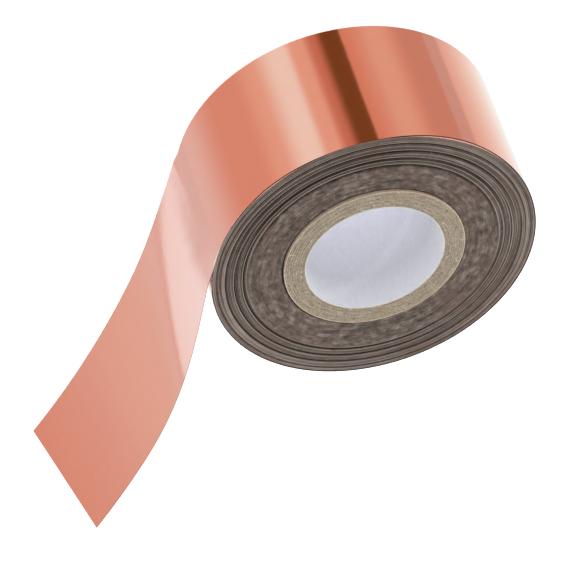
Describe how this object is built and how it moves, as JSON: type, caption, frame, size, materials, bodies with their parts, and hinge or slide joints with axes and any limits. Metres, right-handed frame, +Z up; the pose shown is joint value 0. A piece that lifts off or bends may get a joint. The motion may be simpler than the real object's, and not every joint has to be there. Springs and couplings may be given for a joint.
{
  "type": "copper foil tape roll",
  "caption": "Roll of wide copper foil tape on a paper core, with its free end peeled off the roll, standing on edge and curling outwards; the tail hinges and its release liner peels.",
  "frame": {"origin": "on the axis of the core, at the bottom face of the roll, which lies flat on a table", "axes": "+Z up along the axis of the core; the free tail leaves the roll at +X, heading along +Y"},
  "size_m": [0.1338, 0.1882, 0.0513],
  "materials": {
    "copper_foil": "satin",
    "tape_edge": "satin",
    "adhesive": "gloss",
    "release_liner": "satin",
    "core_board": "matte",
    "core_liner": "matte",
    "core_outer": "matte"
  },
  "bodies": {
    "roll": {"core_bore_ply": "core_liner", "core_board_ply_1": "core_board", "core_board_ply_2": "core_board", "core_board_ply_3": "core_board", "core_board_ply_4": "core_board", "core_board_ply_5": "core_board", "core_board_ply_6": "core_board", "core_board_ply_7": "core_board", "core_board_ply_8": "core_board", "core_outer_ply": "core_outer", "wound_turns_01": "tape_edge", "wound_turns_02": "tape_edge", "wound_turns_03": "tape_edge", "wound_turns_04": "tape_edge", "wound_turns_05": "tape_edge", "wound_turns_06": "tape_edge", "wound_turns_07": "tape_edge", "wound_turns_08": "tape_edge", "wound_turns_09": "tape_edge", "wound_turns_10": "tape_edge", "wound_turns_11": "tape_edge"},
    "last_turn": {"last_turn_foil": "copper_foil", "last_turn_adhesive": "adhesive", "last_turn_liner": "release_liner"},
    "tail_1": {"tail_foil_1": "copper_foil", "tail_adhesive_1": "adhesive", "tail_liner_1": "release_liner"},
    "tail_2": {"tail_foil_2": "copper_foil", "tail_adhesive_2": "adhesive", "tail_liner_2": "release_liner"},
    "tail_3": {"tail_foil_3": "copper_foil", "tail_adhesive_3": "adhesive", "tail_liner_3": "release_liner"},
    "tail_4": {"tail_foil_4": "copper_foil", "tail_adhesive_4": "adhesive", "tail_liner_4": "release_liner"},
    "tail_5": {"tail_foil_5": "copper_foil", "tail_adhesive_5": "adhesive", "tail_liner_5": "release_liner"},
    "liner_flap": {"liner_flap": "release_liner"}
  },
  "joints": [
    {"name": "unwind", "type": "hinge", "parent": "roll", "child": "last_turn", "pos_m": [0, 0, 0], "axis": [0, 0, 1], "continuous": true},
    {"name": "tail_lift", "type": "hinge", "parent": "last_turn", "child": "tail_1", "pos_m": [0.0538, 0, 0], "axis": [0, 0, 1], "range_deg": [-60, 0]},
    {"name": "tail_curl_1", "type": "hinge", "parent": "tail_1", "child": "tail_2", "pos_m": [0.05451, 0.02399, 0], "axis": [-0.0238, -0.0312, 0.9992], "range_deg": [-20, 18]},
    {"name": "tail_curl_2", "type": "hinge", "parent": "tail_2", "child": "tail_3", "pos_m": [0.05692, 0.04787, 0], "axis": [-0.085, -0.0549, 0.9949], "range_deg": [-20, 18]},
    {"name": "tail_curl_3", "type": "hinge", "parent": "tail_3", "child": "tail_4", "pos_m": [0.06092, 0.07154, 0], "axis": [-0.142, -0.0722, 0.9872], "range_deg": [-20, 18]},
    {"name": "tail_curl_4", "type": "hinge", "parent": "tail_4", "child": "tail_5", "pos_m": [0.0665, 0.09488, 0], "axis": [-0.1776, -0.0881, 0.9801], "range_deg": [-20, 18]},
    {"name": "liner_peel", "type": "hinge", "parent": "tail_5", "child": "liner_flap", "pos_m": [0.0706, 0.109, 0], "axis": [-0.1874, -0.0996, 0.9772], "range_deg": [0, 150]}
  ],
  "couplings": [
    {"joint": "tail_curl_2", "follows": "tail_curl_1", "ratio": 1},
    {"joint": "tail_curl_3", "follows": "tail_curl_1", "ratio": 1},
    {"joint": "tail_curl_4", "follows": "tail_curl_1", "ratio": 1}
  ]
}
